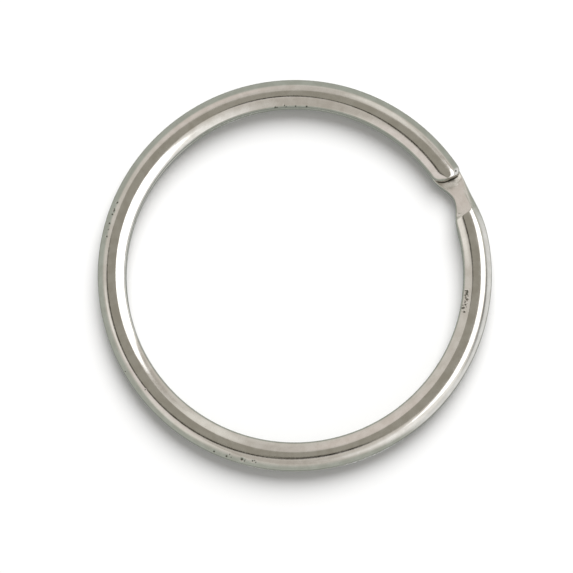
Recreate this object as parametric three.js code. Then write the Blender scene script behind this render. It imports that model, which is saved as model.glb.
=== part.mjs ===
// Split key ring, in millimetres, lying flat with +Z up.
//
// A real split ring is one length of nickel-plated spring steel wire. It is wound into two flat turns that
// lie face to face, and one short crossover takes the wire from the upper turn down to the lower one. Each
// turn ends in a free end, right beside the crossover. A key goes on by lifting a free end off the other
// turn.
//
// The wire is built as short sections, end to end. The crossover and the half of each turn next to it keep
// together. The other half of each turn, up to its free end, springs away from the turn it lies on.
//
// The ring looks the same after half a turn about the radius through the middle of the crossover, so the
// lower turn is the upper one, turned over. The origin is the middle of the ring, on its underside.

import * as THREE from 'three';

// Driving dimensions of the wire
const outerDiameter = 28;
const wireWidth = 2;
const wireThickness = 1;
const turnGap = 0.04; // between the two turns
const sectionGap = 0.05; // between one section of the wire and the next

// Cross-section: a flat contact face and, over it, a narrow flat crown. The outer slope is round, and the
// inner one is nearly flat. Each point is its distance outwards from the middle of the wire, and its depth
// below the crown.
const outerSlope = [[1, 0.75], [0.96, 0.56], [0.85, 0.4], [0.7, 0.26], [0.4, 0.07], [0.05, 0]];
const innerSlope = [[-0.23, 0], [-0.35, 0.025], [-0.7, 0.16], [-0.85, 0.24], [-0.96, 0.36], [-1, 0.5]];
const contactEdgeRadius = 0.12;
const cornerSteps = 2;

// Crossover, in degrees along the wire from its middle
const crossoverAngle = 25.3; // of its middle, from +X towards +Y
const crossoverHalfSpan = 9;
const rampHalfSpan = 5.9;
const bendHalfSpan = 1.2;
const neckInner = 0.46; // what the neck leaves of the half width, on the inside
const neckOuter = 0.82; // the same, on the outside

// Free ends
const freeEndAngle = 353.4; // from the middle of the crossover, along the wire
const endSkew = 0.5; // degrees by which the outer edge runs on past the middle of the wire
const skewSpan = 12;
const endOuterRadius = 0.65; // of the end's corners, seen from above
const endInnerRadius = 0.8;

// Sections of each turn: those that stay with the crossover, and those that spring up with the free end
const stillCount = 3;
const springCount = 3;
const springSpan = 48;
const freeEndSpan = 24;

// Fineness, in degrees along the wire
const turnStep = 5;
const crossoverStep = 1;
const endSteps = 4;

// Values worked out from the above
const middleRadius = (outerDiameter - wireWidth) / 2;
const halfWidth = wireWidth / 2;
const halfThickness = wireThickness / 2;
const turnHeight = (wireThickness + turnGap) / 2; // of each turn's middle, from the middle of the ring
const ringHeight = 2 * wireThickness + turnGap;
const springRootAngle = freeEndAngle - freeEndSpan - springCount * springSpan;
const stillSpan = (springRootAngle - crossoverHalfSpan) / stillCount;
const gapAngle = THREE.MathUtils.radToDeg(sectionGap / middleRadius);
const roundedAngle = THREE.MathUtils.radToDeg(endInnerRadius / middleRadius);

const nickel = {
  color: new THREE.Color(0.72, 0.7, 0.67),
  metalness: 1,
  roughness: 0.22,
};

// A round edge of the contact face, on one side: 1 is outwards and -1 is inwards
function contactEdge(side) {
  const x = side * (halfWidth - contactEdgeRadius);
  const y = contactEdgeRadius - halfThickness;
  const from = -Math.PI / 2;
  const edge = new THREE.EllipseCurve(x, y, side * contactEdgeRadius, contactEdgeRadius, from, 0);
  return edge.getPoints(cornerSteps);
}

// The section's outline, counter-clockwise from the outer end of the contact face, with the crown up
function crownUpOutline() {
  const slopes = [...outerSlope, ...innerSlope];
  const crown = slopes.map(([x, depth]) => new THREE.Vector2(x, halfThickness - depth));
  return [...contactEdge(1), ...crown, ...contactEdge(-1).reverse()];
}

// The same outline upside down, with each point where its partner is in the other one
function upsideDown(outline) {
  const count = outline.length;
  return outline.map((point, index) => {
    const partner = outline[(count + count / 2 - 1 - index) % count];
    return new THREE.Vector2(partner.x, -partner.y);
  });
}

const crownUp = crownUpOutline();
const crownDown = upsideDown(crownUp);

// How far down the ramp a place is: -1 on the upper turn, 1 on the lower one, with a soft bend at each end
function rampShare(along) {
  const reach = Math.abs(along);
  const bendStart = rampHalfSpan - bendHalfSpan;
  const bendEnd = rampHalfSpan + bendHalfSpan;
  let share = reach / rampHalfSpan;
  if (reach > bendStart) {
    const left = Math.max(0, bendEnd - reach);
    share = 1 - (left * left) / (4 * bendHalfSpan * rampHalfSpan);
  }
  return Math.sign(along) * share;
}

// How much of the half width is left near the crossover, where the wire is drawn in
function neckShare(along, least) {
  const reach = Math.min(1, Math.abs(along) / crossoverHalfSpan);
  return THREE.MathUtils.lerp(least, 1, THREE.MathUtils.smoothstep(reach, 0, 1));
}

// How much of the half width is left at a free end, on the side of a round corner
function endShare(fromEnd, cornerRadius) {
  const left = Math.max(0, cornerRadius - THREE.MathUtils.degToRad(fromEnd) * middleRadius);
  const cut = cornerRadius - Math.sqrt(cornerRadius ** 2 - left ** 2);
  return 1 - cut / halfWidth;
}

// One cross-section of the wire, as points round it; along is in degrees from the middle of the crossover
function wireSection(along) {
  const fromEnd = Math.max(0, freeEndAngle - Math.abs(along));
  const skew = endSkew * (1 - THREE.MathUtils.smoothstep(fromEnd, 0, skewSpan));
  const outer = neckShare(along, neckOuter) * endShare(fromEnd, endOuterRadius);
  const inner = neckShare(along, neckInner) * endShare(fromEnd, endInnerRadius);
  const turnedOver = (rampShare(along) + 1) / 2;
  return crownUp.map((point, index) => {
    const place = point.clone().lerp(crownDown[index], turnedOver);
    const share = place.x / halfWidth;
    const radius = middleRadius + place.x * (share > 0 ? outer : inner);
    const angle = THREE.MathUtils.degToRad(along + Math.sign(along) * skew * share);
    const height = place.y - turnHeight * rampShare(along);
    return new THREE.Vector3(radius * Math.cos(angle), radius * Math.sin(angle), height);
  });
}

// A closed solid of the wire, through cross-sections at the given places
function wireSolid(places) {
  const rings = places.map(wireSection);
  const size = crownUp.length;
  const last = (rings.length - 1) * size;
  const faces = [];
  for (let ring = 0; ring < last; ring += size) {
    for (let point = 0; point < size; point += 1) {
      const next = (point + 1) % size;
      faces.push(ring + point, ring + size + next, ring + next);
      faces.push(ring + point, ring + size + point, ring + size + next);
    }
  }
  for (let point = 1; point < size - 1; point += 1) {
    faces.push(0, point, point + 1);
    faces.push(last, last + point + 1, last + point);
  }
  const geometry = new THREE.BufferGeometry().setFromPoints(rings.flat());
  geometry.setIndex(faces);
  geometry.computeVertexNormals();
  return geometry;
}

// Places from one angle to another, no further apart than a step
function places(from, to, step) {
  const count = Math.ceil((to - from) / step);
  return Array.from({ length: count + 1 }, (_, index) => THREE.MathUtils.lerp(from, to, index / count));
}

function wireMesh(name, geometry) {
  const mesh = new THREE.Mesh(geometry, new THREE.MeshStandardMaterial(nickel));
  mesh.name = name;
  return mesh;
}

// A plain section of a turn, between two angles from the middle of the crossover
function turnSection(name, near, far) {
  return wireMesh(name, wireSolid(places(gapAngle / 2 - far, -gapAngle / 2 - near, turnStep)));
}

// The last section of a turn, with its rounded free end
function freeEnd(name, near) {
  const rounding = Array.from({ length: endSteps }, (_, index) => {
    const share = 1 - Math.cos(((index / endSteps) * Math.PI) / 2);
    return share * roundedAngle - freeEndAngle;
  });
  const straight = places(roundedAngle - freeEndAngle, -gapAngle / 2 - near, turnStep);
  return wireMesh(name, wireSolid([...rounding, ...straight]));
}

// One turn, from the crossover to its free end, as it lies on the upper side
function turn(side) {
  const group = new THREE.Group();
  for (let index = 0; index < stillCount; index += 1) {
    const near = crossoverHalfSpan + index * stillSpan;
    group.add(turnSection(`${side}_turn_still_${index + 1}`, near, near + stillSpan));
  }
  for (let index = 0; index < springCount; index += 1) {
    const near = springRootAngle + index * springSpan;
    group.add(turnSection(`${side}_turn_spring_${index + 1}`, near, near + springSpan));
  }
  group.add(freeEnd(`${side}_free_end`, freeEndAngle - freeEndSpan));
  return group;
}

function crossover() {
  return wireMesh('crossover', wireSolid(places(-crossoverHalfSpan, crossoverHalfSpan, crossoverStep)));
}

const upperTurn = turn('upper');
const lowerTurn = turn('lower');
lowerTurn.rotation.x = Math.PI;

const splitRing = new THREE.Group();
splitRing.add(upperTurn, lowerTurn, crossover());
splitRing.rotation.z = THREE.MathUtils.degToRad(crossoverAngle);
splitRing.position.z = ringHeight / 2;

export default splitRing;
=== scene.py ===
"""Looks of a split key ring: one springy nickel-plated wire, wound into two flat turns."""

import math
from collections import namedtuple

import bpy
import numpy as np
from mathutils import Matrix, Vector


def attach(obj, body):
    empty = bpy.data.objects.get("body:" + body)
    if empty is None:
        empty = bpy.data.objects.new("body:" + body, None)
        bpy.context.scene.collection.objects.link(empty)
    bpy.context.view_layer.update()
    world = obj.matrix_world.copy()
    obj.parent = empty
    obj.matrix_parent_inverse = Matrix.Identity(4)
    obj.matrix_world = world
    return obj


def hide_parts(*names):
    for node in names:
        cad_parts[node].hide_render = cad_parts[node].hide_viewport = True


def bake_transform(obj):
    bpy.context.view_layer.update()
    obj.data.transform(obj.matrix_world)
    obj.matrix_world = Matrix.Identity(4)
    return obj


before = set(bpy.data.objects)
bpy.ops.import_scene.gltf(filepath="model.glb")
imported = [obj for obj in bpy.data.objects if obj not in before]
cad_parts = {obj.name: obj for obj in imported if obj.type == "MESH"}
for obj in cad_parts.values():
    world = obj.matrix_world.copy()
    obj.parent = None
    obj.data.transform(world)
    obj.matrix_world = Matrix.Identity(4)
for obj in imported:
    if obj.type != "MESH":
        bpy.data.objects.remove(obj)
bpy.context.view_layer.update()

MM = 0.001

# Lengths are in millimetres. A place along the wire is in degrees from the middle of the crossover, below
# zero on the upper turn and above zero on the lower one. A place across the wire is its distance outwards
# from the middle of the wire.

# The wire, as the CAD model has it
MIDDLE_RADIUS = 13.0
HALF_WIDTH = 1.0
THICKNESS = 1.0
TURN_HEIGHT = 0.52  # of each turn's middle, from the middle of the ring
RING_HEIGHT = 2.04
CROSSOVER_ANGLE = 25.3  # of its middle, from +X towards +Y
CROSSOVER_HALF_SPAN = 9.0
RAMP_START = 5.9  # degrees from the middle of the crossover to the upper bend
NECK_INNER = 0.46  # what the neck leaves of the half width, on the inside
NECK_OUTER = 0.82  # the same, on the outside
SPRING_ROOT_ANGLE = 185.4
END_SKEW = 0.5  # degrees by which a free end's outer edge runs on past the middle of the wire
SKEW_SPAN = 12.0
END_INNER_RADIUS = 0.8  # of a free end's corners, seen from above
END_OUTER_RADIUS = 0.65

# Free ends, finer than the CAD model has them
FREE_END_ANGLE = 353.9  # half a degree further than in the CAD model, right up to the ramp
END_RIM_RADIUS = 0.12
END_RIM_DROP = 0.3  # of the crown at the very end, as a share of the thickness
END_WALL_RINGS = (0.96, 0.66, 0.33)  # of the flat wall that closes an end, as shares of its outline

# Crossover, finer than the CAD model has it
OUTER_NECK_HALF_SPAN = 13.0
BEND_HALF_SPAN = 0.25  # of the crisp bend at each end of the ramp
BEND_SKEW = 1.3  # degrees by which the upper bend moves along, for each millimetre outwards
OUTER_BEND_START = 0.3  # across the wire
OUTER_BEND_SKEW = 3.0  # more of the bend's skew, from there outwards
OUTER_BEND_SPAN = 4.0  # how much softer the bend is, for each millimetre outwards from there
FOOT_UNDER_END = 0.5  # degrees by which the ramp runs on under the free end that lies over its foot
RAMP_EASE = 0.2  # how much steeper the ramp starts than it ends
NECK_WALL_TOP = -0.01  # of the inner side that the neck cuts, from the middle of the thickness
NECK_WALL_BOTTOM = -0.38

# The ramp's face is pressed flat: partly and quickly at the bend, and slowly from there to the ramp's end
PRESSED_AT_BEND = 0.6
PRESS_LEAD = 0.3  # degrees before the bend
PRESS_SPAN = 1.2
SLOW_PRESS_START = 2.0  # degrees past the bend
OUTER_SLOPE_START = 0.35  # across the wire, where the quick part stops
OUTER_SLOPE_FADE = 0.15

# Section of the wire, from the middle of the crown down to the middle of the contact face: the length of each
# stretch, and the degrees that the outline turns by in it
CROWN_MIDDLE = -0.06  # across the wire
OUTER_STRETCHES = [
    (0.14, 7.2), (0.08, 0.8), (0.11, 4), (0.13, 5), (0.17, 17), (0.19, 6), (0.20, 4), (0.395, 46),
    (0.13, 0), (0.1885, 90), (0.88, 0),
]
INNER_STRETCHES = [
    (0.14, 7.2), (0.11, 3.3), (0.06, 6), (0.16, 3), (0.22, 7), (0.202, 3), (0.26, 60.5),
    (0.402, 0), (0.1885, 90), (0.88, 0),
]
CROWN_EDGE = 0.3  # how far in the crown reaches
CROWN_EDGE_HEIGHT = 0.485  # of the section there, from the middle of the thickness

# Slow, slight twist of the wire: degrees, rate along the wire and start
TWISTS = [(0.7, 1.7, 0.4), (0.5, 4.3, 2.0), (0.25, 11.0, 1.1)]

# Marks of use on the upper turn
PITS = [  # place along the wire, place across it, size and depth
    (-139.5, 0.88, 0.075, 0.05), (-135.6, 0.86, 0.075, 0.05), (-131.0, 0.75, 0.10, 0.07),
    (-127.8, 0.66, 0.06, 0.03), (-126.8, 0.72, 0.05, 0.02), (-127.2, 0.60, 0.05, 0.02),
    (-352.5, 0.68, 0.08, 0.015),
]
SCUFFS = [  # middle and span along the wire, middle and spread across it, and count
    (-222.0, 11.0, 0.64, 0.05, 12),
    (-34.8, 7.5, -0.72, 0.09, 40),
    (-294.0, 14.0, -0.97, 0.03, 10),
    (-150.0, 60.0, 0.80, 0.12, 6),
]
SCUFF_SIZES = (0.03, 0.08)
SCUFF_DEPTHS = (0.01, 0.035)
MARK_SEED = 7

# Painted shade at the foot of a free end's wall, and on the ramp in the narrow gap before that wall: a dark
# line where the gap is in shade, and a dark patch for the shade and reflection of the wall
WALL_PAINTED_SHADE = 0.9
WALL_PAINTED_SHADE_HEIGHT = 0.30
WALL_PAINTED_SHADE_FADE = 0.2
# painted shade: a dark line on the ramp along the free end, where the gap is in shade
GAP_LINE_WIDTH = 0.12
GAP_LINE_MIDDLE = -0.1  # across the wire
GAP_LINE_REACH = 0.8  # across the wire, from that middle
GAP_LINE_FADE = 0.1
# painted shade and reflection of the end's wall: a dark patch on the ramp by the gap
GAP_SHADE_PATCH = 0.55
GAP_SHADE_PATCH_LENGTH = 0.3
GAP_SHADE_PATCH_MIDDLE = 0.15  # across the wire
GAP_SHADE_PATCH_WIDTH = 0.2
GAP_HALF_SPAN = 11.0  # degrees from the middle of the crossover in which this shade is painted

# Fineness
SIDE_POINTS = 44  # round each half of the section
STRETCH_STEPS = 60
BEND_WEIGHT = 0.006  # how much length a degree of turn counts for when the points are spread out
TURN_STEP = 0.5  # degrees along the wire
FINE_STEP = 0.1  # the same, close to what is small
FINE_BENDS = (5.0, 8.0)  # where that is, on each side of the crossover's middle
FINE_BY_END = 4.0
FINE_BY_MARK = 1.0
SAME_PLACE = 1e-9
UPPER_FACE_START = 0.4  # share of the way up the section where its points start to follow the upper face
UPPER_FACE_SPAN = 0.2
SHARP_ANGLE = 50.0


# ---------------------------------------------------------------- camera

CAMERA_AZIMUTH = 277.0  # from +X towards +Y, of the camera from the ring
CAMERA_ELEVATION = 82.8
CAMERA_DISTANCE = 229.0
CAMERA_LENS = 202.3
CAMERA_AIM = (-0.58, -0.85, 1.0)
CAMERA_CLIP = (0.001, 10)  # metres


def direction(azimuth, elevation):
    azimuth = math.radians(azimuth)
    elevation = math.radians(elevation)
    level = math.cos(elevation)
    return Vector((level * math.cos(azimuth), level * math.sin(azimuth), math.sin(elevation)))


def add_camera():
    camera = bpy.data.objects.new("camera", bpy.data.cameras.new("camera"))
    bpy.context.scene.collection.objects.link(camera)
    back = direction(CAMERA_AZIMUTH, CAMERA_ELEVATION)
    right = Vector((0, 1, 0)).cross(back).normalized()
    up = back.cross(right)
    camera.location = (Vector(CAMERA_AIM) + back * CAMERA_DISTANCE) * MM
    camera.rotation_euler = Matrix((right, up, back)).transposed().to_euler()
    camera.data.lens = CAMERA_LENS
    camera.data.clip_start, camera.data.clip_end = CAMERA_CLIP
    bpy.context.scene.camera = camera


add_camera()


# ---------------------------------------------------------------- section of the wire


def smooth(share):
    share = np.clip(share, 0, 1)
    return share * share * (3 - 2 * share)


def half_outline(stretches, start):
    """Points of half the section, crown up, from the middle of its contact face to the middle of its crown.

    Each stretch is an arc, or straight where it turns by nothing. The outline is then fitted to the wire's
    width and thickness.
    """
    x = start
    z = 0.0
    turn = 0.0
    line = [(x, z)]
    measure = [0.0]
    for length, bend in stretches:
        for _ in range(STRETCH_STEPS):
            middle = math.radians(turn + bend / STRETCH_STEPS / 2)
            x += length / STRETCH_STEPS * math.cos(middle)
            z -= length / STRETCH_STEPS * math.sin(middle)
            turn += bend / STRETCH_STEPS
            line.append((x, z))
            measure.append(measure[-1] + length / STRETCH_STEPS + BEND_WEIGHT * bend / STRETCH_STEPS)
    line = np.array(line)
    line[:, 0] = start + (line[:, 0] - start) * (HALF_WIDTH - start) / (line[:, 0].max() - start)
    line[:, 1] = THICKNESS / 2 + line[:, 1] * THICKNESS / -line[:, 1].min()
    at = (np.arange(SIDE_POINTS) + 0.5) / SIDE_POINTS * measure[-1]
    points = np.stack([np.interp(at, measure, line[:, axis]) for axis in range(2)], axis=1)
    return points[::-1]


def outline():
    """The whole section, crown up: its outer half from the contact face up, then its inner half back down."""
    outer = half_outline(OUTER_STRETCHES, CROWN_MIDDLE)
    inner = half_outline(INNER_STRETCHES, -CROWN_MIDDLE)[::-1] * (-1, 1)
    return np.concatenate([outer, inner])


def upper_face_shares():
    """For each point of the section, 0 on its lower face and 1 on its upper face."""
    half = (np.arange(SIDE_POINTS) + 0.5) / SIDE_POINTS
    return smooth((np.concatenate([half, half[::-1]]) - UPPER_FACE_START) / UPPER_FACE_SPAN)


CROWN_UP = outline()
HALF_DOWN = np.arange(SIDE_POINTS)[::-1]
OTHER_WAY_UP = np.concatenate([HALF_DOWN, HALF_DOWN + SIDE_POINTS])
UPPER_FACE = upper_face_shares()
NOT_OUTER_SLOPE = 1 - smooth((CROWN_UP[:, 0] - OUTER_SLOPE_START) / OUTER_SLOPE_FADE)


def neck_share(along, least, half_span):
    """How much of the half width is left near the crossover, where the wire is drawn in."""
    return least + (1 - least) * smooth(np.abs(along) / half_span)


def narrowed(along):
    """The crown-up section at each place: the neck takes away the inner slope, but not the crown."""
    x = CROWN_UP[:, 0]
    z = CROWN_UP[:, 1]
    inner = neck_share(along, NECK_INNER, CROSSOVER_HALF_SPAN)
    kept = (inner - CROWN_EDGE) / (HALF_WIDTH - CROWN_EDGE)
    cut_x = x + np.clip(-x - CROWN_EDGE, 0, None) * (1 - kept)
    wall = np.clip((z - NECK_WALL_BOTTOM) / (NECK_WALL_TOP - NECK_WALL_BOTTOM), 0, 1)
    rise = np.clip(CROWN_EDGE_HEIGHT - z, 0, None) * wall
    cut_z = z + (1 - kept) * np.where(x < -CROWN_EDGE, rise, 0)
    outer = neck_share(along, NECK_OUTER, OUTER_NECK_HALF_SPAN)
    return np.where(x > 0, x * outer, cut_x), cut_z


def pressed_share(after_bend):
    """How far a face is pressed flat, at degrees past its bend."""
    quick = PRESSED_AT_BEND * smooth((after_bend + PRESS_LEAD) / PRESS_SPAN) * NOT_OUTER_SLOPE
    ramp_length = RAMP_START + 360 - FREE_END_ANGLE
    slow = smooth((after_bend - SLOW_PRESS_START) / (ramp_length - SLOW_PRESS_START))
    return quick + (1 - quick) * slow


def section(along):
    """The section at each place: crown up on the upper turn, crown down on the lower, flat on the ramp."""
    up_x, up_z = narrowed(along)
    down_x = up_x[:, OTHER_WAY_UP]
    down_z = -up_z[:, OTHER_WAY_UP]
    upper_pressed = pressed_share(along + RAMP_START)
    lower_pressed = pressed_share(RAMP_START - along)[:, OTHER_WAY_UP]
    turned = (1 - lower_pressed) * (1 - UPPER_FACE) + upper_pressed * UPPER_FACE
    return up_x * (1 - turned) + down_x * turned, up_z * (1 - turned) + down_z * turned


# ---------------------------------------------------------------- ramp


def end_outline(x):
    """Where the outline of the free end over the ramp's foot is along the wire, at a place across it."""
    corner = np.where(x < 0, END_INNER_RADIUS, END_OUTER_RADIUS)
    beyond = np.clip(np.abs(x) - (HALF_WIDTH - corner), 0, corner)
    set_back = np.degrees((corner - np.sqrt(corner**2 - beyond**2)) / MIDDLE_RADIUS)
    return 360 - FREE_END_ANGLE - END_SKEW * x + set_back


def past_bend(along, bend, half_span):
    """How far past a bend, in degrees: none before it, and with a soft start."""
    past = along - bend
    return np.where(past > half_span, past, np.clip(past + half_span, 0, None) ** 2 / (4 * half_span))


def ramp_drop(along, x):
    """How far down the ramp, from -1 on its upper side to 1 on its lower side."""
    outer = np.clip(x - OUTER_BEND_START, 0, None)
    bend = -RAMP_START + BEND_SKEW * x + OUTER_BEND_SKEW * outer
    foot = end_outline(x) + FOOT_UNDER_END
    upper = past_bend(along, bend, BEND_HALF_SPAN + OUTER_BEND_SPAN * outer)
    lower = past_bend(along, foot, BEND_HALF_SPAN)
    share = (upper - lower) / (foot - bend)
    return 2 * share * (1 + RAMP_EASE * (1 - share)) - 1


def ramp_height(along, x):
    """How high the ramp lifts each point. The lower face is the upper one, turned over."""
    return TURN_HEIGHT * (ramp_drop(-along, x) * (1 - UPPER_FACE) - ramp_drop(along, x) * UPPER_FACE)


# ---------------------------------------------------------------- twist, marks and painted shade


def twisted(along, x, z):
    """The section with a slow, slight twist, as a drawn wire has."""
    turn = sum(size * np.sin(np.radians(along * rate) + start) for size, rate, start in TWISTS)
    turn = np.radians(turn * smooth((np.abs(along) - CROSSOVER_HALF_SPAN) / SKEW_SPAN))
    return x + z * turn, z - x * turn


def all_marks():
    """Small dents in the upper turn: place along the wire, place across it, size and depth."""
    chance = np.random.default_rng(MARK_SEED)
    marks = list(PITS)
    for along, span, across, spread, count in SCUFFS:
        for _ in range(count):
            place = (along + span * chance.uniform(-0.5, 0.5), across + spread * chance.normal())
            marks.append((*place, chance.uniform(*SCUFF_SIZES), chance.uniform(*SCUFF_DEPTHS)))
    return marks


MARKS = all_marks()


def dented(along, x, z):
    """The section with its dents, which go in towards its middle, and how much each point is darkened in
    them.
    """
    painted_shade_and_dark_dents = np.zeros_like(x)
    depth = np.zeros_like(x)
    out = np.hypot(x, z)
    for mark_along, mark_across, size, deepest in MARKS:
        away = np.hypot(np.radians(along - mark_along) * MIDDLE_RADIUS, x - mark_across) / size
        here = np.exp(-(away**2)) * (z > 0)
        depth += deepest * here
        # darkens the dents, most where they are deepest
        painted_shade_and_dark_dents = np.maximum(painted_shade_and_dark_dents, here)
    return x - depth * x / out, z - depth * z / out, painted_shade_and_dark_dents


def gap_painted_shade(along, x):
    """Painted shade on the ramp before the free end: a thin dark line along the end, and a dark patch for the
    shade and reflection of the end's wall.
    """
    before_end = np.radians(end_outline(x) - along) * MIDDLE_RADIUS
    line = smooth(1 - before_end / GAP_LINE_WIDTH)
    line = line * smooth((GAP_LINE_REACH - np.abs(x - GAP_LINE_MIDDLE)) / GAP_LINE_FADE)
    shade_patch_across = (x - GAP_SHADE_PATCH_MIDDLE) / GAP_SHADE_PATCH_WIDTH
    shade_patch = GAP_SHADE_PATCH * np.exp(-((before_end / GAP_SHADE_PATCH_LENGTH) ** 2) - shade_patch_across**2)
    return np.where(np.abs(along) < GAP_HALF_SPAN, np.maximum(line, shade_patch), 0)


# ---------------------------------------------------------------- the wire as a mesh


def end_share(end_length, corner_radius):
    """How much of the half width is left at a free end, where the corner is round."""
    left = np.clip(1 - end_length / corner_radius, 0, 1)
    return 1 - corner_radius * (1 - np.sqrt(1 - left**2)) / HALF_WIDTH


def rounded_end(along, x, z):
    """The section with the round corners and the round rim of a free end, near one."""
    end_length = np.radians(np.clip(FREE_END_ANGLE - np.abs(along), 0, None)) * MIDDLE_RADIUS
    left = np.clip(1 - end_length / END_RIM_RADIUS, 0, 1)
    drop = END_RIM_DROP * (1 - np.sqrt(1 - left**2))
    contact = np.where(along < 0, -THICKNESS / 2, THICKNESS / 2)
    z = contact + (z - contact) * (1 - drop)
    x = x * np.where(x > 0, end_share(end_length, END_OUTER_RADIUS), end_share(end_length, END_INNER_RADIUS))
    return x, z


def wire_points(along):
    """Points round the wire at each place along it, in millimetres, and how much each is darkened: painted
    shade by the free ends, and darker dents.
    """
    along = np.asarray(along, float)[:, None]
    x, z = section(along)
    x, z = twisted(along, x, z)
    x, z, painted_shade_and_dark_dents = dented(along, x, z)
    # painted shade on the ramps before the free ends: the upper face takes it from one end, the lower face
    # from the other
    painted_shade_and_dark_dents = np.maximum(painted_shade_and_dark_dents, gap_painted_shade(along, x) * UPPER_FACE + gap_painted_shade(-along, x) * (1 - UPPER_FACE))
    x, z = rounded_end(along, x, z)

    skew = END_SKEW * (1 - smooth(np.clip(FREE_END_ANGLE - np.abs(along), 0, None) / SKEW_SPAN))
    radius = MIDDLE_RADIUS + x
    angle = np.radians(CROSSOVER_ANGLE + along + np.sign(along) * skew * x)
    height = RING_HEIGHT / 2 + z + ramp_height(along, x)
    return np.stack([radius * np.cos(angle), radius * np.sin(angle), height], axis=2), painted_shade_and_dark_dents


def wire_places(start, end):
    """Places along the wire: closer together near the crossover's bends, the free ends and the marks."""
    near, far = FINE_BENDS
    fine = [(-far, -near), (near, far)]
    fine += [(mark[0] - FINE_BY_MARK, mark[0] + FINE_BY_MARK) for mark in MARKS]
    fine += [(FREE_END_ANGLE - FINE_BY_END, FREE_END_ANGLE), (-FREE_END_ANGLE, FINE_BY_END - FREE_END_ANGLE)]
    at = [start]
    while at[-1] < end - SAME_PLACE:
        is_fine = any(low - SAME_PLACE <= at[-1] < high for low, high in fine)
        at.append(min(end, at[-1] + (FINE_STEP if is_fine else TURN_STEP)))
    return np.array(at)


def places_on_wire(along):
    """For each point, its place along the wire and round it, in millimetres, for the material."""
    closed = np.concatenate([CROWN_UP, CROWN_UP[:1]])
    around = np.cumsum(np.hypot(*np.diff(closed, axis=0).T))
    place = np.zeros((len(along), len(around), 3))
    place[:, :, 0] = (np.radians(along) * MIDDLE_RADIUS)[:, None]
    place[:, :, 1] = around
    return place


def end_wall(ring):
    """Rings that close a free end with a flat wall, and the painted shade at the foot of it."""
    middle = ring.mean(axis=0)
    rings = np.array([middle + (ring - middle) * share for share in END_WALL_RINGS])
    above_foot = np.abs(rings[:, :, 2] - RING_HEIGHT / 2)
    # painted shade: the wall is darkened near its foot, where it stands over the ramp
    return rings, WALL_PAINTED_SHADE * smooth((WALL_PAINTED_SHADE_HEIGHT - above_foot) / WALL_PAINTED_SHADE_FADE)


def tube_faces(rings, size):
    """Four-sided faces between rings of points, and one face at each end."""
    ring, point = np.meshgrid(np.arange(rings - 1) * size, np.arange(size), indexing="ij")
    after = (point + 1) % size
    sides = np.stack([ring + point, ring + size + point, ring + size + after, ring + after], axis=2)
    first = list(range(size))
    last = list(range((rings - 1) * size, rings * size))
    return [*sides.reshape(-1, 4).tolist(), first, last[::-1]]


def add_attribute(mesh, name, kind, field, values):
    attribute = mesh.attributes.new(name, kind, "POINT")
    attribute.data.foreach_set(field, values.reshape(-1).astype(np.float32))


def wire_object(name, start, end):
    """One length of the wire, with a wall at its free end if it has one."""
    along = wire_places(start, end)
    points, painted_shade_and_dark_dents = wire_points(along)
    if start == -FREE_END_ANGLE:
        wall, wall_painted_shade = end_wall(points[0])
        points = np.concatenate([wall[::-1], points])
        painted_shade_and_dark_dents = np.concatenate([wall_painted_shade[::-1], painted_shade_and_dark_dents])
        along = np.concatenate([along[:1].repeat(len(wall)), along])
    if end == FREE_END_ANGLE:
        wall, wall_painted_shade = end_wall(points[-1])
        points = np.concatenate([points, wall])
        painted_shade_and_dark_dents = np.concatenate([painted_shade_and_dark_dents, wall_painted_shade])
        along = np.concatenate([along, along[-1:].repeat(len(wall))])

    mesh = bpy.data.meshes.new(name)
    mesh.from_pydata((points.reshape(-1, 3) * MM).tolist(), [], tube_faces(*points.shape[:2]))
    mesh.validate()
    mesh.update()
    add_attribute(mesh, "wire_place", "FLOAT_VECTOR", "vector", places_on_wire(along))
    # how much each point is darkened: painted shade by the free ends, and darker dents
    add_attribute(mesh, "painted_shade_and_dark_dents", "FLOAT", "value", painted_shade_and_dark_dents)
    mesh.shade_smooth()
    mesh.set_sharp_from_angle(angle=math.radians(SHARP_ANGLE))
    wire = bpy.data.objects.new(name, mesh)
    bpy.context.scene.collection.objects.link(wire)
    return wire


# ---------------------------------------------------------------- material

TINT_DARK = (0.62, 0.60, 0.565)
TINT_LIGHT = (0.68, 0.665, 0.635)
TINT_SPECK = (0.50, 0.485, 0.45)
# dark of the painted shade by the free ends and of the darkened dents
TINT_SHADE_AND_DARK_DENTS = (0.11, 0.105, 0.085)
GRAIN_NOISE = (9.0, 3.0, 0.6)  # scale, detail and roughness
CLOUD_NOISE = (1.3, 3.0, 0.5)
STREAK_NOISE = (1.0, 2.0, 0.6)
NOISE_RANGE = (0.3, 0.7)  # of the grain and the clouds, where the roughness changes
CLOUD_RANGE = (0.35, 0.65)  # where the tint changes from dark to light
SPECK_RANGE = (0.62, 0.8)  # of the grain, where specks show
SHADE_AND_DARK_DENT_RANGE = (0.15, 0.8)  # where the tint changes to the dark of the painted shade and the darkened dents
ACROSS_STRETCH = (9.0, 1.2, 1.0)  # streaks across the wire
DRAWN_STRETCH = (0.5, 10.0, 1.0)  # streaks along it, from the drawing of the wire
GRAIN_ROUGHNESS = (0.07, 0.13)
CLOUD_ROUGHNESS = (-0.02, 0.03)
RAMP_ROUGHNESS = 0.13  # added on the pressed ramp
RAMP_EDGE = (1.25, 1.5)  # millimetres along the wire where that ends
SHADE_AND_DARK_DENT_ROUGHNESS = 0.3  # added where the shade is painted and the dents are darkened
RELIEF_SHARES = (0.5, 0.35, 0.3)  # of the grain, the streaks across and the streaks along
RELIEF_STRENGTH = 0.5
RELIEF_DEPTH = 0.000003  # metres


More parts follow.
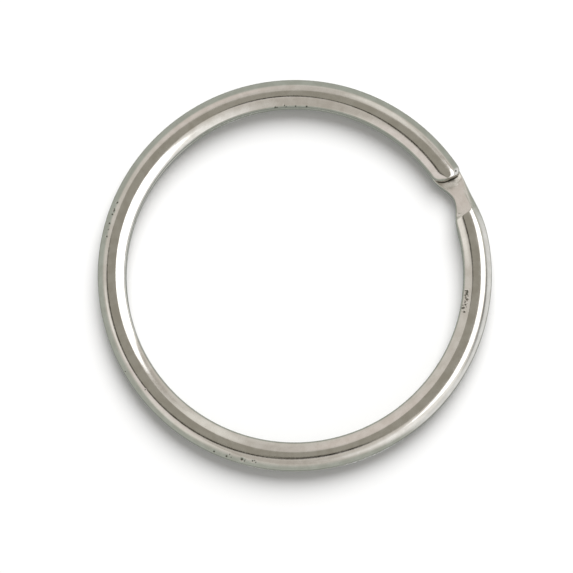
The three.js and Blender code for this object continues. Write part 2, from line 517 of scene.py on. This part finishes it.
class Nodes:
    """Short ways to add and join the nodes of one tree."""

    def __init__(self, tree):
        self.tree = tree
        self.tree.nodes.clear()

    def add(self, kind, settings=None, **inputs):
        node = self.tree.nodes.new(kind)
        for key, value in (settings or {}).items():
            setattr(node, key, value)
        for key, value in inputs.items():
            self.put(node.inputs[key.replace("_", " ")], value)
        return node

    def put(self, socket, value):
        if isinstance(value, bpy.types.NodeSocket):
            self.tree.links.new(value, socket)
        else:
            socket.default_value = value

    def math(self, operation, *values):
        node = self.tree.nodes.new("ShaderNodeMath")
        node.operation = operation
        for socket, value in zip(node.inputs, values):
            self.put(socket, value)
        return node.outputs[0]

    def weighted(self, values, weights):
        """The sum of values, each times its weight."""
        total = self.math("MULTIPLY", values[0], weights[0])
        for value, weight in zip(values[1:], weights[1:]):
            total = self.math("ADD", total, self.math("MULTIPLY", value, weight))
        return total

    def remap(self, value, low, high, to_low=0.0, to_high=1.0):
        node = self.add("ShaderNodeMapRange", {"interpolation_type": "SMOOTHSTEP"}, Value=value)
        self.put(node.inputs["From Min"], low)
        self.put(node.inputs["From Max"], high)
        self.put(node.inputs["To Min"], to_low)
        self.put(node.inputs["To Max"], to_high)
        return node.outputs["Result"]

    def mix(self, share, first, second):
        """A colour between two, each of which is a socket or three numbers."""
        node = self.add("ShaderNodeMix", {"data_type": "RGBA"})
        self.put(node.inputs[0], share)
        for socket, colour in ((node.inputs[6], first), (node.inputs[7], second)):
            self.put(socket, colour if isinstance(colour, bpy.types.NodeSocket) else (*colour, 1.0))
        return node.outputs[2]

    def noise(self, vector, scale, detail, roughness):
        node = self.add("ShaderNodeTexNoise", Vector=vector, Scale=scale, Detail=detail, Roughness=roughness)
        return node.outputs["Fac"]

    def stretch(self, vector, scale):
        node = self.add("ShaderNodeVectorMath", {"operation": "MULTIPLY"})
        self.put(node.inputs[0], vector)
        self.put(node.inputs[1], scale)
        return node.outputs[0]


def nickel_material():
    material = bpy.data.materials.new("nickel_plating")
    material.use_nodes = True
    nodes = Nodes(material.node_tree)
    place = nodes.add("ShaderNodeAttribute", {"attribute_name": "wire_place"}).outputs["Vector"]
    # painted shade by the free ends, and darker dents
    painted_shade_and_dark_dents = nodes.add("ShaderNodeAttribute", {"attribute_name": "painted_shade_and_dark_dents"}).outputs["Fac"]
    grain = nodes.noise(place, *GRAIN_NOISE)
    cloud = nodes.noise(place, *CLOUD_NOISE)
    across = nodes.noise(nodes.stretch(place, ACROSS_STRETCH), *STREAK_NOISE)
    drawn = nodes.noise(nodes.stretch(place, DRAWN_STRETCH), *STREAK_NOISE)

    tint = nodes.mix(nodes.remap(cloud, *CLOUD_RANGE), TINT_DARK, TINT_LIGHT)
    tint = nodes.mix(nodes.remap(grain, *SPECK_RANGE), tint, TINT_SPECK)
    # darkens the tint: painted shade at the free ends and in the gaps before them, and in the dents
    tint = nodes.mix(nodes.remap(painted_shade_and_dark_dents, *SHADE_AND_DARK_DENT_RANGE), tint, TINT_SHADE_AND_DARK_DENTS)

    along = nodes.add("ShaderNodeSeparateXYZ", Vector=place).outputs[0]
    on_ramp = nodes.remap(nodes.math("ABSOLUTE", along), *RAMP_EDGE, RAMP_ROUGHNESS, 0.0)
    rough = nodes.remap(grain, *NOISE_RANGE, *GRAIN_ROUGHNESS)
    rough = nodes.math("ADD", rough, nodes.remap(cloud, *NOISE_RANGE, *CLOUD_ROUGHNESS))
    in_shade_and_dark_dents = nodes.math("MULTIPLY", painted_shade_and_dark_dents, SHADE_AND_DARK_DENT_ROUGHNESS)
    rough = nodes.math("ADD", rough, nodes.math("ADD", on_ramp, in_shade_and_dark_dents))

    relief = nodes.weighted((grain, across, drawn), RELIEF_SHARES)
    bump = nodes.add("ShaderNodeBump", Strength=RELIEF_STRENGTH, Distance=RELIEF_DEPTH, Height=relief)
    shader = nodes.add(
        "ShaderNodeBsdfPrincipled", Base_Color=tint, Metallic=1.0, Roughness=rough, Normal=bump.outputs[0]
    )
    nodes.add("ShaderNodeOutputMaterial", Surface=shader.outputs[0])
    return material


NICKEL = nickel_material()


# ---------------------------------------------------------------- pieces


def add_wire():
    still = wire_object("crossover_wire", -SPRING_ROOT_ANGLE, SPRING_ROOT_ANGLE)
    upper = wire_object("upper_spring_wire", -FREE_END_ANGLE, -SPRING_ROOT_ANGLE)
    lower = wire_object("lower_spring_wire", SPRING_ROOT_ANGLE, FREE_END_ANGLE)
    for wire in (still, upper, lower):
        wire.data.materials.append(NICKEL)
    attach(still, "crossover_half")
    numbers = (1, 2, 3)
    still_turns = [f"{side}_turn_still_{number}" for side in ("upper", "lower") for number in numbers]
    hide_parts("crossover", *still_turns)
    for side, sign, wire in (("upper", -1, upper), ("lower", 1, lower)):
        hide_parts(f"{side}_free_end", *[f"{side}_turn_spring_{number}" for number in numbers])
        if side == "upper":
            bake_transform(wire)
        else:
            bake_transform(wire)


add_wire()


# ---------------------------------------------------------------- floor and lamp

FLOOR_REACH = 0.6  # metres from its middle to each side
FLOOR_CELLS = 40  # along each side
FLOOR_HEIGHT = -0.00001
FLOOR_COLOUR = (0.86, 0.86, 0.86, 1)

LAMP_AZIMUTH = 77.0
LAMP_ELEVATION = 52.5
LAMP_DISTANCE = 0.6  # metres
LAMP_SIZE = 0.52
LAMP_POWER = 4.4


def floor_material():
    material = bpy.data.materials.new("floor_paper")
    material.use_nodes = True
    shader = material.node_tree.nodes["Principled BSDF"]
    shader.inputs["Base Color"].default_value = FLOOR_COLOUR
    shader.inputs["Roughness"].default_value = 1.0
    shader.inputs["Specular IOR Level"].default_value = 0.0
    return material


def add_floor():
    side = np.linspace(-FLOOR_REACH, FLOOR_REACH, FLOOR_CELLS + 1)
    x, y = np.meshgrid(side, side, indexing="ij")
    vertices = np.stack([x, y, np.full_like(x, FLOOR_HEIGHT)], axis=2).reshape(-1, 3)
    row = FLOOR_CELLS + 1
    faces = [
        (i * row + j, (i + 1) * row + j, (i + 1) * row + j + 1, i * row + j + 1)
        for i in range(FLOOR_CELLS)
        for j in range(FLOOR_CELLS)
    ]
    mesh = bpy.data.meshes.new("floor")
    mesh.from_pydata(vertices.tolist(), [], faces)
    mesh.materials.append(floor_material())
    floor = bpy.data.objects.new("floor", mesh)
    bpy.context.scene.collection.objects.link(floor)
    floor.visible_glossy = False


def add_key_light():
    lamp = bpy.data.lights.new("key", "AREA")
    lamp.shape = "DISK"
    lamp.size = LAMP_SIZE
    lamp.energy = LAMP_POWER
    key = bpy.data.objects.new("key", lamp)
    bpy.context.scene.collection.objects.link(key)
    toward = direction(LAMP_AZIMUTH, LAMP_ELEVATION)
    key.location = toward * LAMP_DISTANCE
    key.rotation_euler = toward.to_track_quat("Z", "Y").to_euler()
    key.visible_glossy = False
    key.visible_camera = False


add_floor()
add_key_light()


# ---------------------------------------------------------------- studio round the ring

# What the metal reflects, by direction. The place of a direction is its (x, y) / (1 + z): straight up is in
# the middle, and level directions are on the circle with a radius of 1.
SKY = (0.79, 0.755, 0.705)
SKY_LOW = (0.50, 0.53, 0.48)
SKY_LOW_EDGE = (0.60, 0.90)  # from the middle
GROUND = (0.27, 0.29, 0.26)
GROUND_EDGE = (-0.5, -0.9)  # height of the direction
LOWEST = -0.9  # height below which places stay the same

# Patches of the studio, each on top of those before it: a round one is an ellipse, a boxy one nearly a box
ROUND = 2.0
BOXY = 4.0
Patch = namedtuple("Patch", "centre reach softness colour turn shape", defaults=(0.0, ROUND))
PATCHES = [
    Patch((-0.03, -0.42), (0.20, 0.24), 0.4, (0.62, 0.585, 0.535)),
    Patch((-0.43, -0.44), (0.20, 0.17), 0.3, (0.95, 0.93, 0.87)),
    Patch((-0.36, -0.27), (0.15, 0.20), 0.3, (0.94, 0.88, 0.85)),
    Patch((-0.47, -0.05), (0.13, 0.09), 0.5, (1.15, 1.12, 1.07)),
    Patch((0.43, -0.38), (0.30, 0.27), 0.5, (1.2, 1.19, 1.17)),
    Patch((0.02, 0.36), (0.22, 0.18), 0.5, (0.70, 0.665, 0.62)),
    Patch((0.30, 0.26), (0.13, 0.12), 0.3, (0.62, 0.585, 0.54)),
    Patch((0.17, 0.40), (0.07, 0.20), 0.4, (1.0, 0.975, 0.92), turn=-22.0),
    Patch((-0.17, 0.40), (0.14, 0.16), 0.4, (0.86, 0.795, 0.75)),
    Patch((0.77, -0.08), (0.05, 0.26), 0.3, (0.25, 0.25, 0.25)),
    Patch((-0.12, 0.0), (0.19, 0.185), 0.06, (0.07, 0.065, 0.05)),
    Patch((-0.02, 0.05), (0.225, 0.168), 0.06, (0.41, 0.39, 0.338), shape=BOXY),
    Patch((0.022, -0.10), (0.045, 0.028), 0.3, (0.04, 0.035, 0.03)),
    Patch((0.41, -0.01), (0.21, 0.28), 0.08, (2.2, 2.2, 2.2), shape=BOXY),
]

# A bright wall, low down on one side
WALL = (1.0, 1.01, 1.01)
WALL_WAY = (0.985, -0.174)  # level direction of its middle
WALL_EDGE = (0.70, 0.86)  # cosine of the level angle from there
WALL_TOP_EDGE = (0.28, 0.10)  # height of the direction
WALL_FOOT_EDGE = (-0.78, -0.5)
JUST_OVER_ONE = 1.0001

FLOOR_LIGHT = (0.39, 0.387, 0.38)  # that the floor gets from all round, besides the lamp's
BACKDROP = (0.95, 0.95, 0.95)  # what the camera sees past the floor


def patch_share(nodes, x, y, patch):
    """1 inside a patch and 0 outside it, with a soft edge."""
    cosine = math.cos(math.radians(patch.turn))
    sine = math.sin(math.radians(patch.turn))
    dx = nodes.math("SUBTRACT", x, patch.centre[0])
    dy = nodes.math("SUBTRACT", y, patch.centre[1])
    u = nodes.weighted((dx, dy), (cosine / patch.reach[0], sine / patch.reach[0]))
    v = nodes.weighted((dx, dy), (-sine / patch.reach[1], cosine / patch.reach[1]))
    u = nodes.math("POWER", nodes.math("ABSOLUTE", u), patch.shape)
    v = nodes.math("POWER", nodes.math("ABSOLUTE", v), patch.shape)
    away = nodes.math("POWER", nodes.math("ADD", u, v), 1 / patch.shape)
    return nodes.remap(away, 1 - patch.softness, 1 + patch.softness, 1.0, 0.0)


def wall_share(nodes, toward):
    """1 on the bright wall and 0 beside it, with soft edges."""
    x, y, height = toward
    level = nodes.math("SQRT", nodes.math("SUBTRACT", JUST_OVER_ONE, nodes.math("MULTIPLY", height, height)))
    ahead = nodes.math("DIVIDE", nodes.weighted((x, y), WALL_WAY), level)
    share = nodes.remap(ahead, *WALL_EDGE)
    share = nodes.math("MULTIPLY", share, nodes.remap(height, *WALL_TOP_EDGE))
    return nodes.math("MULTIPLY", share, nodes.remap(height, *WALL_FOOT_EDGE))


def add_surroundings():
    world = bpy.data.worlds.new("studio")
    bpy.context.scene.world = world
    world.use_nodes = True
    nodes = Nodes(world.node_tree)
    generated = nodes.add("ShaderNodeTexCoord").outputs["Generated"]
    toward = nodes.add("ShaderNodeSeparateXYZ", Vector=generated).outputs
    over_nadir = nodes.math("ADD", nodes.math("MAXIMUM", toward[2], LOWEST), 1.0)
    x = nodes.math("DIVIDE", toward[0], over_nadir)
    y = nodes.math("DIVIDE", toward[1], over_nadir)

    away = nodes.math("SQRT", nodes.math("ADD", nodes.math("MULTIPLY", x, x), nodes.math("MULTIPLY", y, y)))
    colour = nodes.mix(nodes.remap(away, *SKY_LOW_EDGE), SKY, SKY_LOW)
    colour = nodes.mix(nodes.remap(toward[2], *GROUND_EDGE), colour, GROUND)
    for patch in PATCHES:
        colour = nodes.mix(patch_share(nodes, x, y, patch), colour, patch.colour)
    colour = nodes.mix(wall_share(nodes, toward), colour, WALL)
    rays = nodes.add("ShaderNodeLightPath").outputs
    colour = nodes.mix(rays["Is Diffuse Ray"], colour, FLOOR_LIGHT)
    colour = nodes.mix(rays["Is Camera Ray"], colour, BACKDROP)
    background = nodes.add("ShaderNodeBackground", Color=colour, Strength=1.0)
    nodes.add("ShaderNodeOutputWorld", Surface=background.outputs[0])


add_surroundings()
bpy.context.scene.view_settings.view_transform = "Standard"
